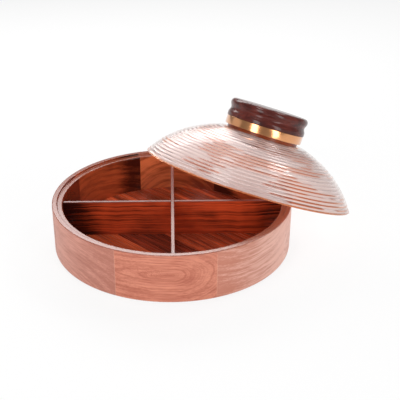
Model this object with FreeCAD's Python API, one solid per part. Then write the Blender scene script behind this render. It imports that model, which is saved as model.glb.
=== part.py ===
import FreeCAD, Part
import math
import os

# Round wooden dish for dried fruit, with a ribbed glass lid leaning against it.
# Millimetres, +Z up, origin at the middle of the dish's underside, front towards -Y.

os.makedirs("parts", exist_ok=True)

# Dish wall: upright staves glued in a ring, then turned
dish_diameter = 280.0
dish_height = 57.0
wall_thickness = 11.8
rim_band_width = 5.8
lid_rebate_depth = 2.8
stave_count = 8
first_stave_joint_angle = 19.2
rim_edge_radius = 1.2
foot_edge_radius = 2.5
ledge_edge_radius = 0.7
opening_edge_radius = 1.2

# Base: a round panel of glued strips, let into a rebate in the foot of the wall
base_thickness = 6.5
base_rebate_width = 4.6
strip_width = 39.8
strip_joint_offset = 30.8
strip_angle = -46.0
narrowest_strip = 12.0

# Divider: two boards crossing in a half lap
divider_thickness = 4.3
divider_drop = 7.0
divider_end_gap = 0.1
lap_gap = 0.1
divider_edge_radius = 0.6

# Lid: ribbed glass dome, sizes square to its own rim
lid_play = 3.6
glass_thickness = 3.5
glass_lip_radius = 0.7
dome_overhang = 11.9
dome_rise = 106.7
plain_lip_height = 1.6
rib_count = 19
rib_height = 0.8
ribbed_inner_radius = 54.0
crown_flat_radius = 45.5
crown_height = 57.4
crown_thickness = 4.0
crown_hole_radius = 5.0

# Knob: neck disc, brass ring and turned hardwood knob, drawn down by one screw
neck_inset = 4.1
neck_height = 3.3
ring_radius = 48.6
ring_height = 10.2
ring_wall = 3.5
ring_edge_radius = 0.5
ring_fit_gap = 0.05
knob_height = 21.3
knob_bead_radius = 48.9
knob_waist_radius = 47.0
lower_bead_height = 3.4
waist_height = 9.4
upper_bead_height = 15.8
knob_top_radius = 44.8
knob_edge_radius = 0.4
screw_radius = 3.0
screw_fit_gap = 0.05
screw_reach = 14.0
screw_head_radius = 5.6
screw_head_height = 3.4
screw_head_rounding = 2.0
socket_across_flats = 4.0
socket_depth = 2.0
insert_radius = 5.5
insert_length = 16.0
insert_flange_radius = 8.0
insert_flange_height = 1.5
gasket_thickness = 1.0
upper_gasket_radius = 38.0
lower_gasket_radius = 20.0
washer_radius = 22.0
washer_thickness = 1.6

# Pose of the leaning lid: its low edge on the table, its lip on the dish's back rim
lean_angle = 23.25
lean_direction = 41.5
lean_contact_angle = 89.45
lean_gap = 0.05
table_gap = 0.1

dish_radius = dish_diameter / 2
inner_radius = dish_radius - wall_thickness
rebate_radius = dish_radius - rim_band_width
ledge_height = dish_height - lid_rebate_depth
base_radius = inner_radius + base_rebate_width
divider_top = dish_height - divider_drop
divider_height = divider_top - base_thickness

lid_radius = rebate_radius - lid_play
dome_half_width = lid_radius + dome_overhang
dome_centre_drop = dome_rise * math.sqrt(1 - (lid_radius / dome_half_width) ** 2)
crown_underside = crown_height - crown_thickness
neck_top = crown_height + neck_height
neck_radius = ring_radius - neck_inset
ring_top = neck_top + ring_height
knob_top = ring_top + knob_height
spigot_radius = ring_radius - ring_wall - ring_fit_gap

UP = FreeCAD.Vector(0, 0, 1)
ORIGIN = FreeCAD.Vector(0, 0, 0)


def at(radius, height):
    """A point of a turned profile: its radius along +X and its height along +Z."""
    return FreeCAD.Vector(radius, 0, height)


def line(start, end):
    return Part.LineSegment(start, end).toShape()


def arc(start, middle, end):
    return Part.Arc(start, middle, end).toShape()


def corner_cut(before, corner, after, radius):
    """Where an arc of this radius starts, has its middle and ends in a corner of a profile."""
    towards_before = (before - corner).normalize()
    towards_after = (after - corner).normalize()
    half_angle = towards_before.getAngle(towards_after) / 2
    reach = radius / math.tan(half_angle)
    to_centre = (towards_before + towards_after).normalize()
    centre = corner + to_centre * (radius / math.sin(half_angle))
    return corner + towards_before * reach, centre - to_centre * radius, corner + towards_after * reach


def rounded_loop(corners):
    """A closed wire through (radius, height, rounding) corners."""
    points = [at(radius, height) for radius, height, rounding in corners]
    cuts = []
    for i, (radius, height, rounding) in enumerate(corners):
        if rounding > 0:
            cuts.append(corner_cut(points[i - 1], points[i], points[(i + 1) % len(points)], rounding))
        else:
            cuts.append((points[i], None, points[i]))
    edges = []
    for i, (start, middle, end) in enumerate(cuts):
        if middle is not None:
            edges.append(arc(start, middle, end))
        edges.append(line(end, cuts[(i + 1) % len(cuts)][0]))
    return Part.Wire(edges)


def turned(wire, sweep=360.0):
    """The solid that a closed profile makes when it turns about the Z axis."""
    return Part.Face(wire).revolve(ORIGIN, UP, sweep)


def washer(outer_radius, hole_radius, bottom, top):
    disc = Part.makeCylinder(outer_radius, top - bottom, at(0, bottom))
    return disc.cut(Part.makeCylinder(hole_radius, top - bottom, at(0, bottom)))


def wall_profile():
    return rounded_loop([
        (base_radius, 0, 0),
        (dish_radius, 0, foot_edge_radius),
        (dish_radius, dish_height, rim_edge_radius),
        (rebate_radius, dish_height, ledge_edge_radius),
        (rebate_radius, ledge_height, ledge_edge_radius),
        (inner_radius, ledge_height, opening_edge_radius),
        (inner_radius, base_thickness, 0),
        (base_radius, base_thickness, 0),
    ])


def make_staves():
    sweep = 360.0 / stave_count
    stave = turned(wall_profile(), sweep)
    staves = {}
    for i in range(stave_count):
        piece = stave.copy()
        piece.rotate(ORIGIN, UP, first_stave_joint_angle + sweep * i)
        staves[f"stave_{i + 1}"] = piece
    return staves


def make_floor_strips():
    """Strips side by side across the base disc; a sliver at its edge joins its neighbour."""
    lowest = math.ceil((narrowest_strip - base_radius - strip_joint_offset) / strip_width)
    joints = []
    offset = strip_joint_offset + lowest * strip_width
    while offset < base_radius - narrowest_strip:
        joints.append(offset)
        offset += strip_width
    edges = [-base_radius] + joints + [base_radius]
    disc = Part.makeCylinder(base_radius, base_thickness)
    strips = {}
    for i in range(len(edges) - 1):
        low_corner = FreeCAD.Vector(-base_radius, edges[i], 0)
        band = Part.makeBox(2 * base_radius, edges[i + 1] - edges[i], base_thickness, low_corner)
        band.rotate(ORIGIN, UP, strip_angle)
        strips[f"floor_strip_{i + 1}"] = disc.common(band)
    return strips


def divider_board():
    """One board along X, its ends shaped to the wall and its top edges eased."""
    half = divider_thickness / 2
    section = Part.Face(Part.makePolygon([
        FreeCAD.Vector(-inner_radius, -half, base_thickness),
        FreeCAD.Vector(-inner_radius, half, base_thickness),
        FreeCAD.Vector(-inner_radius, half, divider_top - divider_edge_radius),
        FreeCAD.Vector(-inner_radius, half - divider_edge_radius, divider_top),
        FreeCAD.Vector(-inner_radius, divider_edge_radius - half, divider_top),
        FreeCAD.Vector(-inner_radius, -half, divider_top - divider_edge_radius),
        FreeCAD.Vector(-inner_radius, -half, base_thickness),
    ]))
    board = section.extrude(FreeCAD.Vector(2 * inner_radius, 0, 0))
    bowl = Part.makeCylinder(inner_radius - divider_end_gap, dish_height)
    return board.common(bowl)


def make_dividers():
    """The board along Y runs on over the top at the crossing; the board along X runs on below."""
    notch_half = divider_thickness / 2 + lap_gap
    lap_height = base_thickness + divider_height / 2
    upper_notch = Part.makeBox(
        2 * notch_half, 2 * notch_half, dish_height,
        FreeCAD.Vector(-notch_half, -notch_half, lap_height - lap_gap / 2),
    )
    lower_notch = Part.makeBox(
        2 * notch_half, 2 * notch_half, dish_height,
        FreeCAD.Vector(-notch_half, -notch_half, lap_height + lap_gap / 2 - dish_height),
    )
    along_x = divider_board()
    along_y = along_x.copy()
    along_y.rotate(ORIGIN, UP, 90)
    return {
        "divider_left_right": along_x.cut(upper_notch),
        "divider_front_back": along_y.cut(lower_notch),
    }


def dome_point(angle, outwards=0.0):
    """A point of the dome's outer curve, part of an ellipse, or one moved square to that curve."""
    radius = dome_half_width * math.cos(angle)
    height = dome_rise * math.sin(angle) - dome_centre_drop
    normal = at(math.cos(angle) / dome_half_width, math.sin(angle) / dome_rise).normalize()
    return at(radius, height) + normal * outwards


def crown_arc(start, flat):
    """An arc from a point of the dome up to the edge of the flat crown, level where it ends."""
    across = start.x - flat.x
    rise = flat.z - start.z
    radius = (across ** 2 + rise ** 2) / (2 * rise)
    half_turn = math.asin(across / radius) / 2
    middle = flat + at(radius * math.sin(half_turn), radius * math.cos(half_turn) - radius)
    return arc(start, middle, flat)


def rib_angles():
    """The ellipse angles of the valleys between the ribs, from the lip to the crown."""
    first = math.asin((plain_lip_height + dome_centre_drop) / dome_rise)
    last = math.acos(ribbed_inner_radius / dome_half_width)
    return [first + (last - first) * i / rib_count for i in range(rib_count + 1)]


def ribbed_edges(angles):
    """One arc for each rib, from valley to valley over its crest."""
    edges = []
    for low, high in zip(angles, angles[1:]):
        start = dome_point(low, -rib_height / 2)
        crest = dome_point((low + high) / 2, rib_height / 2)
        end = dome_point(high, -rib_height / 2)
        edges.append(arc(start, crest, end))
    return edges


def make_glass_dome():
    """The outer face is ribbed from lip to crown; the inner face is smooth."""
    angles = rib_angles()
    first_valley = dome_point(angles[0], -rib_height / 2)
    last_valley = dome_point(angles[-1], -rib_height / 2)
    inner_half_width = dome_half_width - glass_thickness
    inner_rise = dome_rise - glass_thickness
    inner_lip_angle = math.asin(dome_centre_drop / inner_rise)
    inner_lip = at(inner_half_width * math.cos(inner_lip_angle), 0)
    inner_top_angle = math.acos(ribbed_inner_radius / inner_half_width)
    inner_top = at(ribbed_inner_radius, inner_rise * math.sin(inner_top_angle) - dome_centre_drop)
    inner_centre = at(0, -dome_centre_drop)
    inner_ellipse = Part.Ellipse(
        inner_centre + at(inner_half_width, 0), inner_centre + at(0, inner_rise), inner_centre
    )
    inner_curve = Part.ArcOfEllipse(inner_ellipse, inner_lip_angle, inner_top_angle).toShape()
    lip_start = at(lid_radius - glass_lip_radius, 0)
    lip_side = at(lid_radius, glass_lip_radius)
    flat_edge = at(crown_flat_radius, crown_height)
    flat_under = at(crown_flat_radius, crown_underside)
    hole_top = at(crown_hole_radius, crown_height)
    hole_bottom = at(crown_hole_radius, crown_underside)
    edges = [line(inner_lip, lip_start), arc(lip_start, lip_side, first_valley)]
    edges += ribbed_edges(angles)
    edges += [crown_arc(last_valley, flat_edge), line(flat_edge, hole_top), line(hole_top, hole_bottom)]
    edges += [line(hole_bottom, flat_under), crown_arc(inner_top, flat_under), inner_curve]
    return turned(Part.Wire(Part.__sortEdges__(edges)))


def make_neck_disc():
    """The thin wooden foot of the knob, hollowed below for the upper gasket."""
    disc = washer(neck_radius, screw_radius + screw_fit_gap, crown_height, neck_top)
    recess = Part.makeCylinder(upper_gasket_radius, gasket_thickness, at(0, crown_height))
    return disc.cut(recess)


def make_brass_ring():
    inner = ring_radius - ring_wall
    return turned(rounded_loop([
        (inner, neck_top, 0),
        (ring_radius, neck_top, ring_edge_radius),
        (ring_radius, ring_top, ring_edge_radius),
        (inner, ring_top, 0),
    ]))


def make_knob():
    """Spigot inside the brass ring, then a bead, a shallow waist and a bead below the flat top."""
    shoulder_foot = at(knob_bead_radius - knob_edge_radius, ring_top)
    shoulder = at(knob_bead_radius, ring_top + knob_edge_radius)
    lower_bead = at(knob_bead_radius, ring_top + lower_bead_height)
    waist = at(knob_waist_radius, ring_top + waist_height)
    upper_bead = at(knob_bead_radius, ring_top + upper_bead_height)
    top_edge = at(knob_top_radius, knob_top)
    over_top = at(
        knob_top_radius + (knob_bead_radius - knob_top_radius) * math.cos(math.pi / 4),
        upper_bead.z + (knob_top - upper_bead.z) * math.sin(math.pi / 4),
    )
    side = Part.BSplineCurve()
    side.interpolate(Points=[lower_bead, waist, upper_bead], InitialTangent=UP, FinalTangent=UP)
    outline = Part.Wire([
        line(at(0, neck_top), at(spigot_radius, neck_top)),
        line(at(spigot_radius, neck_top), at(spigot_radius, ring_top)),
        line(at(spigot_radius, ring_top), shoulder_foot),
        line(shoulder_foot, shoulder),
        line(shoulder, lower_bead),
        side.toShape(),
        arc(upper_bead, over_top, top_edge),
        line(top_edge, at(0, knob_top)),
        line(at(0, knob_top), at(0, neck_top)),
    ])
    insert_hole = Part.makeCylinder(insert_radius, insert_length, at(0, neck_top))
    flange_hole = Part.makeCylinder(insert_flange_radius, insert_flange_height, at(0, neck_top))
    return turned(outline).cut(insert_hole).cut(flange_hole)


def make_threaded_insert():
    body = Part.makeCylinder(insert_radius, insert_length, at(0, neck_top))
    flange = Part.makeCylinder(insert_flange_radius, insert_flange_height, at(0, neck_top))
    bore = Part.makeCylinder(screw_radius + screw_fit_gap, insert_length, at(0, neck_top))
    return body.fuse(flange).removeSplitter().cut(bore)


def make_screw(washer_bottom):
    """Button-head screw, put in from inside the lid, with a hexagon socket."""
    head_bottom = washer_bottom - screw_head_height
    head = turned(rounded_loop([
        (0, head_bottom, 0),
        (screw_head_radius, head_bottom, screw_head_rounding),
        (screw_head_radius, washer_bottom, 0),
        (0, washer_bottom, 0),
    ]))
    shank = Part.makeCylinder(screw_radius, neck_top + screw_reach - washer_bottom, at(0, washer_bottom))
    corner_radius = socket_across_flats / math.sqrt(3)
    corners = []
    for i in range(7):
        turn = math.radians(60 * i)
        corners.append(FreeCAD.Vector(
            corner_radius * math.cos(turn), corner_radius * math.sin(turn), head_bottom
        ))
    socket = Part.Face(Part.makePolygon(corners)).extrude(UP * socket_depth)
    return head.fuse(shank).removeSplitter().cut(socket)


def make_lid_pieces():
    """Every piece of the lid, standing level with its rim at height 0."""
    gasket_bottom = crown_underside - gasket_thickness
    washer_bottom = gasket_bottom - washer_thickness
    clear_radius = screw_radius + screw_fit_gap
    return {
        "glass_dome": make_glass_dome(),
        "neck_disc": make_neck_disc(),
        "brass_ring": make_brass_ring(),
        "knob": make_knob(),
        "threaded_insert": make_threaded_insert(),
        "upper_gasket": washer(
            upper_gasket_radius, clear_radius, crown_height, crown_height + gasket_thickness
        ),
        "lower_gasket": washer(lower_gasket_radius, clear_radius, gasket_bottom, crown_underside),
        "backing_washer": washer(washer_radius, clear_radius, washer_bottom, gasket_bottom),
        "clamp_screw": make_screw(washer_bottom),
    }


def leaning_place():
    """Where the lid's rim centre goes, so that its rounded low edge meets the table and the
    inner edge of its lip meets the outer edge of the dish's rim at the contact angle."""
    lean = math.radians(lean_angle)
    downhill = math.radians(lean_direction)
    inner_rise = dome_rise - glass_thickness
    inner_half_width = dome_half_width - glass_thickness
    inner_lip_radius = inner_half_width * math.sqrt(1 - (dome_centre_drop / inner_rise) ** 2)
    round_centre_drop = (lid_radius - glass_lip_radius) * math.sin(lean) - glass_lip_radius * math.cos(lean)
    centre_height = round_centre_drop + glass_lip_radius + table_gap
    uphill = (dish_height - centre_height) / math.sin(lean)
    along_chord = math.sqrt(inner_lip_radius ** 2 - uphill ** 2)
    contact = math.radians(lean_contact_angle)
    contact_radius = dish_radius + lean_gap
    x = contact_radius * math.cos(contact) + uphill * math.cos(lean) * math.cos(downhill)
    y = contact_radius * math.sin(contact) + uphill * math.cos(lean) * math.sin(downhill)
    x += along_chord * math.sin(downhill)
    y -= along_chord * math.cos(downhill)
    turn = FreeCAD.Rotation(FreeCAD.Vector(-math.sin(downhill), math.cos(downhill), 0), lean_angle)
    return FreeCAD.Placement(FreeCAD.Vector(x, y, centre_height), turn)


def place_lid(pieces):
    place = leaning_place()
    placed = {}
    for name, piece in pieces.items():
        placed[name] = piece.copy()
        placed[name].Placement = place.multiply(piece.Placement)
    return placed


def main():
    parts = {}
    parts.update(make_staves())
    parts.update(make_floor_strips())
    parts.update(make_dividers())
    parts.update(place_lid(make_lid_pieces()))
    for name, shape in parts.items():
        shape.exportStep(f"parts/{name}.step")
        print(name, "valid" if shape.isValid() else "INVALID", round(shape.Volume, 1))


main()
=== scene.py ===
import math

import bpy
from mathutils import Euler, Matrix, Vector


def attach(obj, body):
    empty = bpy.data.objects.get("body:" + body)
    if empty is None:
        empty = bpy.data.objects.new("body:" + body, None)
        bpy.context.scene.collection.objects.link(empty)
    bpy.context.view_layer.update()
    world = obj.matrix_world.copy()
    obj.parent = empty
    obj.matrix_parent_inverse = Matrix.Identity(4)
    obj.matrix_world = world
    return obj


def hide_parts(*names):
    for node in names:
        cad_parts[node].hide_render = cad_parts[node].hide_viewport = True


# Metres, +Z up, origin at the middle of the dish's underside, front towards -Y.
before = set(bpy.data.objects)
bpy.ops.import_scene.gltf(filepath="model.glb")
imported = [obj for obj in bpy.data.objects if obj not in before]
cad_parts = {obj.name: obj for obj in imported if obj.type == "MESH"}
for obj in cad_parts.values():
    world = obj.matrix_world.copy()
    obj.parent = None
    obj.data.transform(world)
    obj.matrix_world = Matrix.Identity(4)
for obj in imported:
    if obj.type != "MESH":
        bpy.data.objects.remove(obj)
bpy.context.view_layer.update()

# The photograph's camera
CAMERA_PLACE = (0.0, -0.8169, 0.458)
CAMERA_TILT = 63.513
CAMERA_ROLL = -0.418
CAMERA_TURN = -2.074
LENS_MM = 69.5
SENSOR_MM = 36.0
LAMP_TARGET = (0.03, 0.02, 0.08)
WORLD_LIGHT = 0.22
WORLD_REFLECTED = 0.3
FLOOR_GLOW = 0.84

# The dish
DISH_RADIUS = 0.140
DISH_HEIGHT = 0.057
INNER_RADIUS = 0.1282
REBATE_RADIUS = 0.1342
LEDGE_HEIGHT = 0.0542
BASE_THICKNESS = 0.0065
DIVIDER_TOP = 0.050
DIVIDER_THICKNESS = 0.0043
STAVE_SWEEP = 45.0
FIRST_STAVE_MIDDLE = 19.2 + STAVE_SWEEP / 2
STRIP_ANGLE = -46.0
CURLY_STAVE = 6
CURLS = (-0.012, 0.036, 0.3, 0.5, 0.0)

# The lid, in its own frame: rim at height 0, axis up
LID_CENTRE = (0.094381, 0.054436, 0.051434)
LEAN_ANGLE = 23.25
LEAN_DIRECTION = 41.5
LID_RADIUS = 0.1306
DOME_HALF_WIDTH = 0.1425
DOME_RISE = 0.1067
GLASS_THICKNESS = 0.0035
GLASS_LIP_RADIUS = 0.0007
PLAIN_LIP_HEIGHT = 0.0016
RIB_COUNT = 19
RIB_HEIGHT = 0.0008
RIBBED_INNER_RADIUS = 0.054
CROWN_FLAT_RADIUS = 0.0455
CROWN_HEIGHT = 0.0574
CROWN_THICKNESS = 0.004
CROWN_HOLE_RADIUS = 0.005
NECK_RADIUS = 0.0445
NECK_TOP = CROWN_HEIGHT + 0.0033
RING_RADIUS = 0.0486
RING_WALL = 0.0035
RING_TOP = NECK_TOP + 0.0102
KNOB_TOP = RING_TOP + 0.0213
KNOB_BEAD_RADIUS = 0.0489
KNOB_WAIST_RADIUS = 0.0470
KNOB_TOP_RADIUS = 0.0448
SPIGOT_RADIUS = 0.04505
SEGMENTS = 320


def srgb(red, green, blue):
    """A colour as read off a screen, from 0 to 255, as the linear colour that shaders take."""
    def channel(value):
        share = value / 255
        return share / 12.92 if share <= 0.04045 else ((share + 0.055) / 1.055) ** 2.4
    return (channel(red), channel(green), channel(blue), 1.0)


RIM_WOOD = (srgb(162, 86, 60), srgb(120, 56, 38))
DIVIDER_TOP_WOOD = (srgb(126, 60, 48), srgb(98, 42, 32))
PALE_GLASS = (srgb(230, 213, 208), srgb(224, 205, 200))
# Painted on the glass: shade in the valleys, dark lines near the lip and crown, and the wood seen through it as orange
# streaks and an orange lip.
PAINTED_VALLEY_SHADE_GLASS = srgb(206, 186, 188)
PAINTED_DARK_LINE_GLASS = srgb(70, 44, 46)
PAINTED_REFRACTION_GLASS = srgb(198, 108, 62)
PAINTED_LIP_REFRACTION_GLASS = srgb(212, 130, 80)


class Graph:
    """A material's node tree, with its principled shader, built by calls that take values or sockets."""

    def __init__(self, name):
        self.material = bpy.data.materials.new(name)
        self.material.use_nodes = True
        self.tree = self.material.node_tree
        self.shader = self.tree.nodes["Principled BSDF"]
        self.output = self.tree.nodes["Material Output"]

    def add(self, kind, values=(), **settings):
        node = self.tree.nodes.new(kind)
        for key, value in settings.items():
            setattr(node, key, value)
        for key, value in dict(values).items():
            self.put(node.inputs[key], value)
        return node

    def put(self, socket, value):
        if isinstance(value, bpy.types.NodeSocket):
            self.tree.links.new(value, socket)
        else:
            socket.default_value = value

    def set(self, **values):
        for key, value in values.items():
            self.put(self.shader.inputs[key.replace("_", " ")], value)

    def math(self, operation, first, second=0.0, third=0.0):
        node = self.add("ShaderNodeMath", {0: first, 1: second, 2: third}, operation=operation)
        return node.outputs[0]

    def sum(self, *terms):
        """Numbers times their weights, added up."""
        total = 0.0
        for value, weight in terms:
            total = self.math("MULTIPLY_ADD", value, weight, total)
        return total

    def length(self, x, y):
        return self.math("SQRT", self.math("MULTIPLY_ADD", x, x, self.math("MULTIPLY", y, y)))

    def mix(self, factor, first, second, blend="MIX"):
        node = self.add("ShaderNodeMix", data_type="RGBA", blend_type=blend)
        self.put(node.inputs["Factor"], factor)
        self.put(node.inputs["A"], first)
        self.put(node.inputs["B"], second)
        return node.outputs["Result"]

    def blend(self, factor, first, second):
        """A number between two numbers."""
        node = self.add("ShaderNodeMapRange", {"Value": factor, "To Min": first, "To Max": second})
        return node.outputs["Result"]

    def step(self, value, low, high):
        """0 below low, 1 above high, smooth between."""
        node = self.add("ShaderNodeMapRange", {"Value": value, "From Min": low, "From Max": high})
        node.interpolation_type = "SMOOTHSTEP"
        return node.outputs["Result"]

    def noise(self, place, scale, detail=3.0, roughness=0.5, distortion=0.0):
        node = self.add("ShaderNodeTexNoise", {
            "Vector": place, "Scale": scale, "Detail": detail,
            "Roughness": roughness, "Distortion": distortion,
        })
        return node.outputs["Fac"]

    def vector(self, x, y, z):
        return self.add("ShaderNodeCombineXYZ", {"X": x, "Y": y, "Z": z}).outputs[0]

    def place(self):
        return self.add("ShaderNodeTexCoord").outputs["Object"]

    def turned_place(self, angle):
        """Object coordinates turned about Z, so that what lies at this azimuth comes to +X."""
        node = self.add("ShaderNodeVectorRotate", {"Vector": self.place(), "Angle": -math.radians(angle)})
        node.rotation_type = "Z_AXIS"
        return node.outputs[0]

    def lid_place(self):
        """Object coordinates in the lid's own frame."""
        node = self.add("ShaderNodeVectorRotate", {
            "Vector": self.place(), "Center": LID_CENTRE,
            "Axis": lean_axis(), "Angle": -math.radians(LEAN_ANGLE),
        })
        node.rotation_type = "AXIS_ANGLE"
        moved = self.add("ShaderNodeVectorMath", {0: node.outputs[0], 1: LID_CENTRE}, operation="SUBTRACT")
        return moved.outputs[0]

    def parts(self, vector):
        node = self.add("ShaderNodeSeparateXYZ", {0: vector})
        return node.outputs[0], node.outputs[1], node.outputs[2]

    def bump(self, height, strength, distance):
        node = self.add("ShaderNodeBump", {"Height": height, "Strength": strength, "Distance": distance})
        self.put(self.shader.inputs["Normal"], node.outputs[0])


def fibres(graph, along, across, deep, along_scale, across_scale):
    """Fine streaks that run along a board."""
    stretched = graph.vector(
        graph.math("MULTIPLY", along, along_scale),
        graph.math("MULTIPLY", across, across_scale),
        graph.math("MULTIPLY", deep, across_scale),
    )
    return graph.noise(stretched, 1.0, detail=4.0, roughness=0.6)


def ring_lines(graph, distance, along, out, spacing):
    """Growth rings of uneven width and strength, from 0 in pale wood to 1 in dark."""
    place = graph.vector(
        graph.math("DIVIDE", distance, spacing),
        graph.math("MULTIPLY", along, 14.0),
        graph.math("MULTIPLY", out, 14.0),
    )
    return graph.step(graph.noise(place, 1.0, detail=3.0, roughness=0.6), 0.36, 0.64)


def oval_distance(graph, along, up, oval):
    """How far out a point lies in a nest of ovals on a board's face, each as tall as a circle
    and drawn out along the board, not equally far to its two ends."""
    centre_along, centre_up, near_squash, far_squash, slope = oval
    aside = graph.math("SUBTRACT", along, centre_along)
    rise = graph.math("SUBTRACT", graph.math("SUBTRACT", up, centre_up), graph.math("MULTIPLY", aside, slope))
    drawn = graph.math("MAXIMUM", graph.math("MULTIPLY", aside, far_squash), graph.math("MULTIPLY", aside, -near_squash))
    return graph.length(drawn, rise)


def stave_material(index, outer_oval, outer_rings, drift_and_sheen, outside, inner_oval, inner_rings, inner_shade_side, inside):
    """Flat-sawn board of the wall, oiled outside, lacquered inside and on its rim; the inner colours are darker partly
    as painted shade.
    Its outer face drifts in tone along the board, on stave 7 paler towards its right end as painted sheen,
    and its inner face darkens towards one side as painted shade."""
    graph = Graph(f"stave_{index}_wood")
    middle = FIRST_STAVE_MIDDLE + STAVE_SWEEP * (index - 1)
    out, along, up = graph.parts(graph.turned_place(middle))
    seed = graph.vector(graph.math("ADD", out, index * 3.7), along, graph.math("MULTIPLY", up, 2.0))
    sway = graph.math("SUBTRACT", graph.noise(seed, 45.0, detail=4.0), 0.5)
    fine = fibres(graph, along, up, out, 40.0, 1100.0)
    broad = fibres(graph, along, up, out, 8.0, 170.0)
    cloud = graph.noise(seed, 24.0, detail=3.0)

    def rings(oval, spacing):
        distance = graph.sum((oval_distance(graph, along, up, oval), 1.0), (sway, 0.0045))
        return ring_lines(graph, distance, along, out, spacing)

    pale, deep = outside
    spacing, contrast = outer_rings
    # The tone drifts along the board; on stave 7 this is painted sheen, paler towards its right end where light from
    # the right falls.
    tone = graph.sum((rings(outer_oval, spacing), contrast), (broad, 0.6), (fine, 0.8), (cloud, 0.5), (along, drift_and_sheen))
    if index == CURLY_STAVE:
        curls = graph.noise(graph.vector(along, graph.math("MULTIPLY", up, 1.5), out), 330.0, detail=1.0, distortion=2.5)
        curly = graph.step(oval_distance(graph, along, up, CURLS), 0.0105, 0.002)
        tone = graph.sum((tone, 1.0), (graph.math("MULTIPLY", curly, graph.step(curls, 0.55, 0.66)), 0.3))
    level = 0.95 + contrast / 2
    colour = graph.mix(graph.step(tone, level - 0.42, level + 0.42), pale, deep)

    inner_pale, inner_deep = inside
    spacing, contrast = inner_rings
    # Painted shade: the inner face darkens towards one side, picked by the sign.
    side = graph.step(graph.math("MULTIPLY", along, inner_shade_side), 0.012, 0.04)
    inner_tone = graph.sum(
        (rings(inner_oval, spacing), contrast), (broad, 0.7), (cloud, 0.9), (fine, 0.5), (side, 0.75)
    )
    level = 1.05 + contrast / 2
    inner_colour = graph.mix(graph.step(inner_tone, level - 0.4, level + 0.9), inner_pale, inner_deep)

    outer_face = graph.step(graph.length(out, along), REBATE_RADIUS + 0.0001, REBATE_RADIUS + 0.0007)
    inner = graph.math("SUBTRACT", 1.0, outer_face)
    upward = graph.step(graph.parts(graph.add("ShaderNodeNewGeometry").outputs["Normal"])[2], 0.45, 0.9)
    top_colour = graph.mix(graph.sum((broad, 0.6), (fine, 0.5)), *RIM_WOOD)
    colour = graph.mix(inner, colour, inner_colour)
    colour = graph.mix(upward, colour, top_colour)

    turn = graph.math("ABSOLUTE", graph.math("ARCTAN2", along, out))
    edge = math.radians(STAVE_SWEEP / 2)
    polish = graph.math("MAXIMUM", inner, upward)
    seam = graph.step(turn, edge - 0.005, edge - 0.001)
    seam = graph.math("MULTIPLY", seam, graph.blend(polish, 0.16, 0.0))
    colour = graph.mix(seam, colour, srgb(240, 200, 176))
    graph.set(Base_Color=colour, Roughness=graph.blend(polish, 0.5, 0.2))
    graph.bump(fine, 0.08, 0.0003)
    return graph.material


def strip_material(index, pale, deep):
    """Glossy base strip with straight grain along its length."""
    graph = Graph(f"floor_strip_{index}_wood")
    along, across, up = graph.parts(graph.turned_place(STRIP_ANGLE))
    moved = graph.math("ADD", along, index * 0.37)
    broad = fibres(graph, moved, across, up, 6.0, 110.0)
    fine = fibres(graph, moved, across, up, 30.0, 900.0)
    tone = graph.sum((broad, 1.1), (fine, 0.45))
    graph.set(Base_Color=graph.mix(graph.step(tone, 0.52, 1.02), pale, deep), Roughness=graph.blend(fine, 0.2, 0.34))
    graph.shader.inputs["Coat Weight"].default_value = 0.35
    graph.shader.inputs["Coat Roughness"].default_value = 0.12
    graph.bump(fine, 0.1, 0.0003)
    return graph.material


def divider_material(name, along_y, painted_shade_ends):
    """Wavy dark stripes along the board, with painted shade towards its ends, with lacquer over all."""
    graph = Graph(name)
    x, y, up = graph.parts(graph.place())
    along, across = (y, x) if along_y else (x, y)
    sway = graph.math("SUBTRACT", graph.noise(graph.vector(along, across, 0.0), 18.0, detail=3.0), 0.5)
    level = graph.sum((up, 1.0), (sway, 0.010))
    broad = fibres(graph, along, level, across, 6.0, 420.0)
    fine = fibres(graph, along, level, across, 30.0, 1300.0)
    cloud = graph.noise(graph.vector(along, level, across), 24.0, detail=3.0)
    # Painted shade towards both ends of the board, where the walls shade it, by the given strengths.
    low_end_shade = graph.step(along, -0.6 * INNER_RADIUS, -0.95 * INNER_RADIUS)
    high_end_shade = graph.step(along, 0.6 * INNER_RADIUS, 0.95 * INNER_RADIUS)
    tone = graph.sum((broad, 1.5), (fine, 0.6), (cloud, 0.8), (low_end_shade, painted_shade_ends[0]), (high_end_shade, painted_shade_ends[1]))
    face = graph.mix(graph.step(tone, 1.1, 2.0), srgb(212, 78, 40), srgb(52, 14, 9))
    edge = graph.step(up, DIVIDER_TOP - 0.0007, DIVIDER_TOP - 0.0004)
    colour = graph.mix(edge, face, graph.mix(fine, *DIVIDER_TOP_WOOD))
    graph.set(Base_Color=colour, Roughness=graph.blend(fine, 0.12, 0.22))
    graph.bump(fine, 0.06, 0.0003)
    return graph.material


def turned_wood_material(name, pale, deep, coat):
    """Turned hardwood under a gloss lacquer."""
    graph = Graph(name)
    x, y, up = graph.parts(graph.lid_place())
    fine = fibres(graph, x, y, up, 60.0, 800.0)
    broad = fibres(graph, x, y, up, 12.0, 130.0)
    tone = graph.sum((broad, 0.9), (fine, 0.4))
    graph.set(Base_Color=graph.mix(graph.step(tone, 0.4, 0.95), pale, deep), Roughness=graph.blend(fine, 0.22, 0.32))
    graph.shader.inputs["Specular IOR Level"].default_value = 0.15
    graph.shader.inputs["Coat Weight"].default_value = coat
    graph.shader.inputs["Coat Roughness"].default_value = 0.08
    graph.bump(fine, 0.03, 0.0003)
    return graph.material


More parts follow.
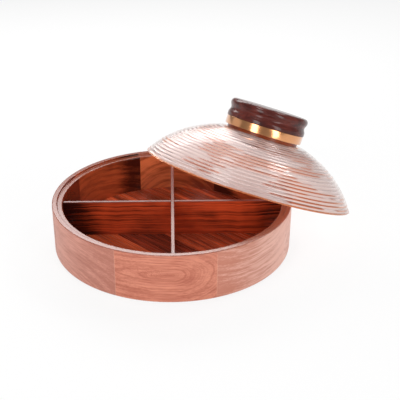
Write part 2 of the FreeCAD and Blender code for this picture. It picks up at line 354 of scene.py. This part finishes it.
def brass_material(name):
    """Polished brass, brushed round its axis."""
    graph = Graph(name)
    place = graph.lid_place()
    x, y, up = graph.parts(place)
    brushed = graph.noise(graph.vector(0.0, 0.0, graph.math("MULTIPLY", up, 9000.0)), 1.0, detail=2.0)
    worn = graph.noise(place, 60.0, detail=3.0)
    colour = graph.mix(worn, srgb(230, 164, 108), srgb(214, 142, 90))
    graph.set(Base_Color=colour, Metallic=1.0, Roughness=graph.blend(brushed, 0.14, 0.26))
    graph.shader.inputs["Coat Weight"].default_value = 1.0
    graph.shader.inputs["Coat Roughness"].default_value = 0.12
    graph.bump(brushed, 0.04, 0.0001)
    return graph.material


def steel_material():
    graph = Graph("stainless_steel")
    turned = graph.noise(graph.place(), 900.0, detail=2.0)
    colour = graph.mix(turned, (0.55, 0.55, 0.56, 1.0), (0.66, 0.66, 0.67, 1.0))
    graph.set(Base_Color=colour, Metallic=1.0, Roughness=graph.blend(turned, 0.25, 0.4))
    return graph.material


def gasket_material():
    graph = Graph("silicone")
    cloud = graph.noise(graph.place(), 300.0, detail=2.0)
    colour = graph.mix(cloud, (0.62, 0.55, 0.5, 1.0), (0.72, 0.66, 0.62, 1.0))
    graph.set(Base_Color=colour, Roughness=graph.blend(cloud, 0.45, 0.6))
    return graph.material


def glass_material():
    """Pressed glass, faintly milky and pink, with a greyer line of painted shade in each valley between two ribs,
    orange streaks along the ribs and an orange lip that are painted refraction of the wood behind and under it,
    and dark lines of painted shade near the lip and the crown. Lamps reach what is behind it,
    and behind the near wall rays go straight on through the far one."""
    graph = Graph("ribbed_glass")
    place = graph.lid_place()
    x, y, up = graph.parts(place)
    radius = graph.length(x, y)
    drop = DOME_RISE * math.sqrt(1 - (LID_RADIUS / DOME_HALF_WIDTH) ** 2)
    first = math.asin((PLAIN_LIP_HEIGHT + drop) / DOME_RISE)
    last = math.acos(RIBBED_INNER_RADIUS / DOME_HALF_WIDTH)
    climb = graph.math("DIVIDE", graph.math("ADD", up, drop), DOME_RISE)
    angle = graph.math("ARCTAN2", climb, graph.math("DIVIDE", radius, DOME_HALF_WIDTH))
    rib = graph.math("MULTIPLY", graph.math("SUBTRACT", angle, first), RIB_COUNT / (last - first))
    share = graph.math("FRACT", rib)
    valley = graph.step(graph.math("ABSOLUTE", graph.math("SUBTRACT", share, 0.5)), 0.32, 0.5)

    patches = graph.noise(graph.vector(
        graph.math("DIVIDE", x, radius), graph.math("DIVIDE", y, radius), graph.math("MULTIPLY", rib, 0.16)
    ), 1.3, detail=1.0)
    streaks = graph.noise(graph.vector(
        graph.math("DIVIDE", x, radius), graph.math("DIVIDE", y, radius), graph.math("FLOOR", rib)
    ), 2.6, detail=1.0)
    # Painted refraction: orange streaks along parts of the ribs, standing in for the wood seen through the glass.
    line = graph.math("MULTIPLY", graph.step(share, 0.5, 0.62), graph.step(share, 0.95, 0.84))
    painted_refraction = graph.math("MULTIPLY", line, graph.step(graph.sum((patches, 1.0), (streaks, 0.6)), 0.8, 0.86))

    # Painted shade: dark lines in some valleys near the lip and the crown, standing in for dark things seen through the
    # glass.
    painted_dark_lines = graph.math("MULTIPLY", graph.step(valley, 0.5, 0.8), graph.step(graph.sum((streaks, 1.0), (patches, -0.4)), 0.28, 0.34))
    painted_dark_lines = graph.math("MULTIPLY", painted_dark_lines, graph.step(graph.math("ABSOLUTE", graph.math("SUBTRACT", rib, 9.5)), 4.5, 5.5))

    colour = graph.mix(graph.noise(place, 120.0, detail=2.0), *PALE_GLASS)
    # Painted shade: a greyer line in every valley.
    colour = graph.mix(graph.math("MULTIPLY", valley, 0.7), colour, PAINTED_VALLEY_SHADE_GLASS)
    colour = graph.mix(painted_refraction, colour, PAINTED_REFRACTION_GLASS)
    colour = graph.mix(painted_dark_lines, colour, PAINTED_DARK_LINE_GLASS)
    # Painted refraction: the lip takes the orange of the wooden rim under it.
    colour = graph.mix(graph.step(up, 1.2 * PLAIN_LIP_HEIGHT, 0.8 * PLAIN_LIP_HEIGHT), colour, PAINTED_LIP_REFRACTION_GLASS)
    graph.set(Base_Color=colour, Roughness=0.0, IOR=1.3)
    graph.shader.inputs["Specular IOR Level"].default_value = 0.1
    graph.shader.inputs["Transmission Weight"].default_value = 0.62
    graph.shader.inputs["Coat Weight"].default_value = 0.45
    graph.shader.inputs["Coat Roughness"].default_value = 0.2
    path = graph.add("ShaderNodeLightPath")
    beyond = graph.add("ShaderNodeBsdfTransparent", {"Color": (0.96, 0.92, 0.9, 1.0)})
    far_wall = graph.math("GREATER_THAN", path.outputs["Transmission Depth"], 1.5)
    mirrored = graph.math("SUBTRACT", path.outputs["Is Glossy Ray"], path.outputs["Is Transmission Ray"])
    straight = graph.math("MAXIMUM", far_wall, mirrored)
    once = graph.add("ShaderNodeMixShader", {0: straight})
    graph.put(once.inputs[1], graph.shader.outputs[0])
    graph.put(once.inputs[2], beyond.outputs[0])
    clear = graph.add("ShaderNodeBsdfTransparent", {"Color": (0.97, 0.95, 0.94, 1.0)})
    either = graph.add("ShaderNodeMixShader", {0: path.outputs["Is Shadow Ray"]})
    graph.put(either.inputs[1], once.outputs[0])
    graph.put(either.inputs[2], clear.outputs[0])
    graph.put(graph.output.inputs["Surface"], either.outputs[0])
    return graph.material


def lean_axis():
    """The level line that the lid turns about when it leans."""
    turn = math.radians(LEAN_DIRECTION)
    return (-math.sin(turn), math.cos(turn), 0.0)


def lid_matrix():
    """From the lid's own frame to its leaning place."""
    return Matrix.Translation(LID_CENTRE) @ Matrix.Rotation(math.radians(LEAN_ANGLE), 4, Vector(lean_axis()))


def lathe(name, profile, material, node):
    """A turned piece of the lid: a closed profile of (radius, height) points, spun about the lid's axis."""
    vertices = []
    for step in range(SEGMENTS):
        turn = 2 * math.pi * step / SEGMENTS
        for radius, height in profile:
            vertices.append((radius * math.cos(turn), radius * math.sin(turn), height))
    faces = []
    count = len(profile)
    for step in range(SEGMENTS):
        first = step * count
        second = (step + 1) % SEGMENTS * count
        for i in range(count):
            j = (i + 1) % count
            faces.append((first + i, second + i, second + j, first + j))
    mesh = bpy.data.meshes.new(name)
    mesh.from_pydata(vertices, [], faces)
    mesh.validate()
    piece = bpy.data.objects.new(name, mesh)
    bpy.context.scene.collection.objects.link(piece)
    mesh.materials.append(material)
    mesh.shade_smooth()
    mesh.set_sharp_from_angle(angle=math.radians(40))
    mesh.transform(lid_matrix())
    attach(piece, "lid")
    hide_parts(node)
    return piece


def round_corner(before, corner, after, radius, steps=5):
    """Points of an arc that rounds a corner of a profile."""
    corner = Vector(corner)
    to_before = (Vector(before) - corner).normalized()
    to_after = (Vector(after) - corner).normalized()
    half = to_before.angle(to_after) / 2
    centre = corner + (to_before + to_after).normalized() * radius / math.sin(half)
    start = (corner + to_before * radius / math.tan(half) - centre).normalized()
    end = (corner + to_after * radius / math.tan(half) - centre).normalized()
    return [tuple(centre + start.slerp(end, i / steps) * radius) for i in range(steps + 1)]


def arc_points(start, middle, end, steps):
    """Points of a circular arc through three points, without the last one."""
    a, b, c = Vector(start), Vector(middle), Vector(end)
    ab, ac = b - a, c - a
    cross = 2 * (ab.x * ac.y - ab.y * ac.x)
    centre = a + Vector((
        (ac.y * ab.length_squared - ab.y * ac.length_squared) / cross,
        (ab.x * ac.length_squared - ac.x * ab.length_squared) / cross,
    ))
    from_centre = a - centre

    def turn_to(point):
        reach = point - centre
        turn = math.atan2(reach.y, reach.x) - math.atan2(from_centre.y, from_centre.x)
        return turn % (2 * math.pi)

    sweep = turn_to(c)
    if turn_to(b) > sweep:
        sweep -= 2 * math.pi
    return [tuple(centre + Matrix.Rotation(sweep * i / steps, 2) @ from_centre) for i in range(steps)]


def glass_profile():
    """The dome's section: ribs outside, a plain ellipse inside, a flat crown with its hole."""
    drop = DOME_RISE * math.sqrt(1 - (LID_RADIUS / DOME_HALF_WIDTH) ** 2)

    def outer(angle, outwards):
        normal = Vector((math.cos(angle) / DOME_HALF_WIDTH, math.sin(angle) / DOME_RISE)).normalized()
        point = Vector((DOME_HALF_WIDTH * math.cos(angle), DOME_RISE * math.sin(angle) - drop))
        return tuple(point + normal * outwards)

    def crown(start, flat, steps):
        across, rise = start[0] - flat[0], flat[1] - start[1]
        radius = (across ** 2 + rise ** 2) / (2 * rise)
        turn = math.asin(across / radius)
        points = []
        for i in range(steps + 1):
            t = turn * (1 - i / steps)
            points.append((flat[0] + radius * math.sin(t), flat[1] + radius * (math.cos(t) - 1)))
        return points

    first = math.asin((PLAIN_LIP_HEIGHT + drop) / DOME_RISE)
    last = math.acos(RIBBED_INNER_RADIUS / DOME_HALF_WIDTH)
    valleys = [first + (last - first) * i / RIB_COUNT for i in range(RIB_COUNT + 1)]
    ribs = []
    for low, high in zip(valleys, valleys[1:]):
        ribs += arc_points(
            outer(low, -RIB_HEIGHT / 2), outer((low + high) / 2, RIB_HEIGHT / 2), outer(high, -RIB_HEIGHT / 2), 8
        )
    half, rise = DOME_HALF_WIDTH - GLASS_THICKNESS, DOME_RISE - GLASS_THICKNESS
    inner_low = math.asin(drop / rise)
    inner_high = math.acos(RIBBED_INNER_RADIUS / half)
    inner = []
    for i in range(40):
        angle = inner_high + (inner_low - inner_high) * i / 40
        inner.append((half * math.cos(angle), rise * math.sin(angle) - drop))
    inner_lip = (half * math.cos(inner_low), 0.0)
    inner_top = inner[0]
    lip = arc_points((LID_RADIUS - GLASS_LIP_RADIUS, 0.0), (LID_RADIUS, GLASS_LIP_RADIUS), ribs[0], 8)
    outer_crown = crown(outer(last, -RIB_HEIGHT / 2), (CROWN_FLAT_RADIUS, CROWN_HEIGHT), 6)
    inner_crown = crown(inner_top, (CROWN_FLAT_RADIUS, CROWN_HEIGHT - CROWN_THICKNESS), 6)
    hole = [(CROWN_HOLE_RADIUS, CROWN_HEIGHT), (CROWN_HOLE_RADIUS, CROWN_HEIGHT - CROWN_THICKNESS)]
    return [inner_lip] + lip + ribs + outer_crown + hole + inner_crown[::-1][:-1] + inner


def knob_profile():
    """Spigot, shoulder, bead, waist, bead and flat top."""
    points = [(0.0055, NECK_TOP), (SPIGOT_RADIUS, NECK_TOP), (SPIGOT_RADIUS, RING_TOP)]
    points += round_corner((SPIGOT_RADIUS, RING_TOP), (KNOB_BEAD_RADIUS, RING_TOP),
                           (KNOB_BEAD_RADIUS, KNOB_TOP), 0.0004)
    low, high = RING_TOP + 0.0034, RING_TOP + 0.0158
    for i in range(25):
        share = i / 24
        dip = (1 - math.cos(2 * math.pi * share)) / 2
        points.append((KNOB_BEAD_RADIUS - (KNOB_BEAD_RADIUS - KNOB_WAIST_RADIUS) * dip, low + (high - low) * share))
    over_top = (
        KNOB_TOP_RADIUS + (KNOB_BEAD_RADIUS - KNOB_TOP_RADIUS) * math.cos(math.pi / 4),
        high + (KNOB_TOP - high) * math.sin(math.pi / 4),
    )
    points += arc_points(points.pop(), over_top, (KNOB_TOP_RADIUS, KNOB_TOP), 10) + [(KNOB_TOP_RADIUS, KNOB_TOP)]
    points += [(0.002, KNOB_TOP), (0.0, KNOB_TOP - 0.00001), (0.0, NECK_TOP + 0.016), (0.0055, NECK_TOP + 0.016)]
    return points


def ring_profile():
    inner = RING_RADIUS - RING_WALL
    low_inner, low_outer = (inner, NECK_TOP), (RING_RADIUS, NECK_TOP)
    high_outer, high_inner = (RING_RADIUS, RING_TOP), (inner, RING_TOP)
    points = [low_inner]
    points += round_corner(low_inner, low_outer, high_outer, 0.0005)
    points += round_corner(low_outer, high_outer, high_inner, 0.0005)
    return points + [high_inner]


def neck_profile():
    low = CROWN_HEIGHT
    return [(0.038, low), (NECK_RADIUS, low), (NECK_RADIUS, NECK_TOP), (0.00305, NECK_TOP),
            (0.00305, low + 0.001), (0.038, low + 0.001)]


def dress_dish():
    outside_left = (srgb(216, 152, 134), srgb(174, 108, 90))
    outside_front = (srgb(214, 138, 112), srgb(170, 90, 68))
    # The right-hand outside colours, also used on the back staves, are wood made paler partly as painted sheen of light
    # from the right.
    outside_right_painted_sheen = (srgb(234, 184, 168), srgb(190, 120, 98))
    outside_far_right_painted_sheen = (srgb(244, 202, 188), srgb(208, 148, 130))
    # The inside colours are lacquered wood made darker partly as painted shade.
    inside_red = (srgb(190, 86, 48), srgb(60, 17, 8))
    inside_orange = (srgb(214, 112, 68), srgb(120, 50, 28))
    inside_dark = (srgb(128, 48, 26), srgb(48, 13, 7))
    plain = (0.0, 0.030, 0.3, 0.3, 0.1)
    # Columns: outer oval, outer rings, drift along the outer face (stave 7's -6.0 is painted sheen, paler to the
    # right), outside colours, inner oval, inner rings, side of the inner painted shade, inside colours.
    woods = {
        1: (plain, (0.0022, 0.25), 0.0, outside_right_painted_sheen, plain, (0.005, 0.4), 1, inside_red),
        2: (plain, (0.0022, 0.25), 0.0, outside_right_painted_sheen, (0.004, -0.02, 0.9, 0.9, 0.0), (0.0045, 0.7), -1, inside_orange),
        3: (plain, (0.0022, 0.25), 0.0, outside_left, (0.010, 0.005, 0.3, 0.5, 0.1), (0.006, 0.4), -1, inside_red),
        4: (plain, (0.0022, 0.25), 0.0, outside_left, plain, (0.005, 0.3), 1, inside_dark),
        5: ((-0.03, -0.02, 0.5, 0.5, 0.0), (0.0022, 0.2), 5.0, outside_left, plain, (0.005, 0.3), 1, inside_dark),
        6: ((0.008, 0.034, 0.14, 0.6, 0.0), (0.0024, 0.3), 0.0, outside_front, plain, (0.005, 0.3), 1, inside_dark),
        7: ((-0.008, 0.078, 0.42, 0.42, 0.0), (0.0024, 0.3), -6.0, outside_right_painted_sheen, plain, (0.005, 0.3), 1, inside_dark),
        8: (plain, (0.0022, 0.25), 0.0, outside_far_right_painted_sheen, plain, (0.005, 0.3), 1, inside_dark),
    }
    for index, choice in woods.items():
        paint(f"stave_{index}", stave_material(index, *choice))
    tones = {
        1: (srgb(176, 72, 42), srgb(74, 24, 13)),
        2: (srgb(214, 96, 56), srgb(92, 32, 18)),
        3: (srgb(156, 60, 36), srgb(60, 19, 11)),
        4: (srgb(222, 100, 60), srgb(98, 35, 20)),
        5: (srgb(170, 68, 38), srgb(68, 23, 13)),
        6: (srgb(208, 92, 54), srgb(88, 31, 18)),
        7: (srgb(162, 64, 38), srgb(66, 22, 13)),
    }
    for index, (pale, deep) in tones.items():
        paint(f"floor_strip_{index}", strip_material(index, pale, deep))
    # The last numbers are the strengths of the painted shade at the two ends.
    paint("divider_left_right", divider_material("divider_left_right_wood", False, (0.6, 0.3)))
    paint("divider_front_back", divider_material("divider_front_back_wood", True, (0.3, 0.3)))


def paint(node, material):
    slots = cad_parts[node].material_slots
    for slot in slots:
        slot.material = material


def dress_lid():
    brass = brass_material("brushed_brass")
    steel = steel_material()
    silicone = gasket_material()
    lathe("ribbed_dome", glass_profile(), glass_material(), "glass_dome")
    knob_wood = turned_wood_material("knob_wood", srgb(106, 46, 38), srgb(48, 16, 16), 0.3)
    lathe("turned_knob", knob_profile(), knob_wood, "knob")
    lathe("polished_ring", ring_profile(), brass, "brass_ring")
    neck_wood = turned_wood_material("neck_wood", srgb(156, 70, 32), srgb(90, 37, 18), 0.1)
    lathe("neck_foot", neck_profile(), neck_wood, "neck_disc")
    paint("threaded_insert", brass_material("insert_brass"))
    paint("clamp_screw", steel)
    paint("backing_washer", steel)
    paint("upper_gasket", silicone)
    paint("lower_gasket", silicone)


def make_camera():
    data = bpy.data.cameras.new("camera")
    data.lens = LENS_MM
    data.sensor_width = SENSOR_MM
    data.sensor_fit = "HORIZONTAL"
    data.clip_start = 0.01
    data.clip_end = 50
    camera = bpy.data.objects.new("camera", data)
    camera.location = CAMERA_PLACE
    camera.rotation_euler = Euler([math.radians(a) for a in (CAMERA_TILT, CAMERA_ROLL, CAMERA_TURN)])
    bpy.context.scene.collection.objects.link(camera)
    bpy.context.scene.camera = camera


def softbox(name, place, width, height, glow, roll=0.0):
    """A lamp that faces the object and shines with this strength from every spot.
    It isn't seen through the glass."""
    data = bpy.data.lights.new(name, "AREA")
    data.shape = "RECTANGLE"
    data.size = width
    data.size_y = height
    data.energy = glow * math.pi * width * height
    lamp = bpy.data.objects.new(name, data)
    lamp.location = place
    facing = (Vector(place) - Vector(LAMP_TARGET)).to_track_quat("Z", "Y").to_matrix()
    lamp.rotation_euler = (facing @ Matrix.Rotation(math.radians(roll), 3, "Z")).to_euler()
    lamp.visible_transmission = False
    bpy.context.scene.collection.objects.link(lamp)


def seen_directly(tree):
    """1 for rays from the camera, a mirror or clear glass, 0 for the light that falls on things."""
    path = tree.nodes.new("ShaderNodeLightPath")
    total = path.outputs["Is Camera Ray"]
    for name in ("Is Glossy Ray", "Is Transmission Ray"):
        node = tree.nodes.new("ShaderNodeMath")
        node.operation = "MAXIMUM"
        tree.links.new(total, node.inputs[0])
        tree.links.new(path.outputs[name], node.inputs[1])
        total = node.outputs[0]
    return total


def make_world():
    """White where it is seen directly, dimmer in reflections, as a studio is, and as a light."""
    world = bpy.data.worlds.new("studio")
    world.use_nodes = True
    tree = world.node_tree
    background = tree.nodes["Background"]
    background.inputs["Color"].default_value = (1.0, 1.0, 1.0, 1.0)
    path = tree.nodes.new("ShaderNodeLightPath")
    total = tree.nodes.new("ShaderNodeValue").outputs[0]
    total.default_value = WORLD_LIGHT
    for name, share in (("Is Glossy Ray", WORLD_REFLECTED), ("Is Transmission Ray", 1.0), ("Is Camera Ray", 1.0)):
        scaled = tree.nodes.new("ShaderNodeMath")
        scaled.operation = "MULTIPLY"
        scaled.inputs[1].default_value = share
        tree.links.new(path.outputs[name], scaled.inputs[0])
        larger = tree.nodes.new("ShaderNodeMath")
        larger.operation = "MAXIMUM"
        tree.links.new(total, larger.inputs[0])
        tree.links.new(scaled.outputs[0], larger.inputs[1])
        total = larger.outputs[0]
    tree.links.new(total, background.inputs["Strength"])
    bpy.context.scene.world = world


def make_floor():
    mesh = bpy.data.meshes.new("floor")
    half = 6.0
    level = -0.0002
    mesh.from_pydata([(-half, -half, level), (half, -half, level), (half, half, level), (-half, half, level)],
                     [], [(0, 1, 2, 3)])
    floor = bpy.data.objects.new("floor", mesh)
    bpy.context.scene.collection.objects.link(floor)
    graph = Graph("pale_floor")
    graph.set(Base_Color=(0.86, 0.86, 0.86, 1.0), Roughness=0.8)
    glow = graph.add("ShaderNodeEmission", {"Color": (1.0, 1.0, 1.0, 1.0), "Strength": 1.0})
    share = graph.math("MULTIPLY", seen_directly(graph.tree), FLOOR_GLOW)
    both = graph.add("ShaderNodeMixShader", {0: share})
    graph.put(both.inputs[1], graph.shader.outputs[0])
    graph.put(both.inputs[2], glow.outputs[0])
    graph.put(graph.output.inputs["Surface"], both.outputs[0])
    mesh.materials.append(graph.material)


def make_lamps():
    softbox("left_softbox", (-0.585, -0.89, 0.52), 0.4, 0.8, 5.6)
    softbox("right_softbox", (0.646, -0.999, 0.42), 0.37, 0.78, 5.6)
    softbox("back_softbox", (-0.12, 1.05, 0.84), 1.4, 0.46, 5.8, roll=-8.0)
    softbox("top_softbox", (-0.12, -0.1, 1.3), 0.33, 0.28, 12.0)
    softbox("window_softbox", (0.77, 0.43, 1.05), 0.24, 0.26, 14.0)
    softbox("side_softbox", (-1.3, 0.35, 0.4), 0.9, 0.5, 0.45)


make_camera()
make_world()
make_floor()
make_lamps()
dress_dish()
dress_lid()
bpy.context.scene.view_settings.view_transform = "Standard"
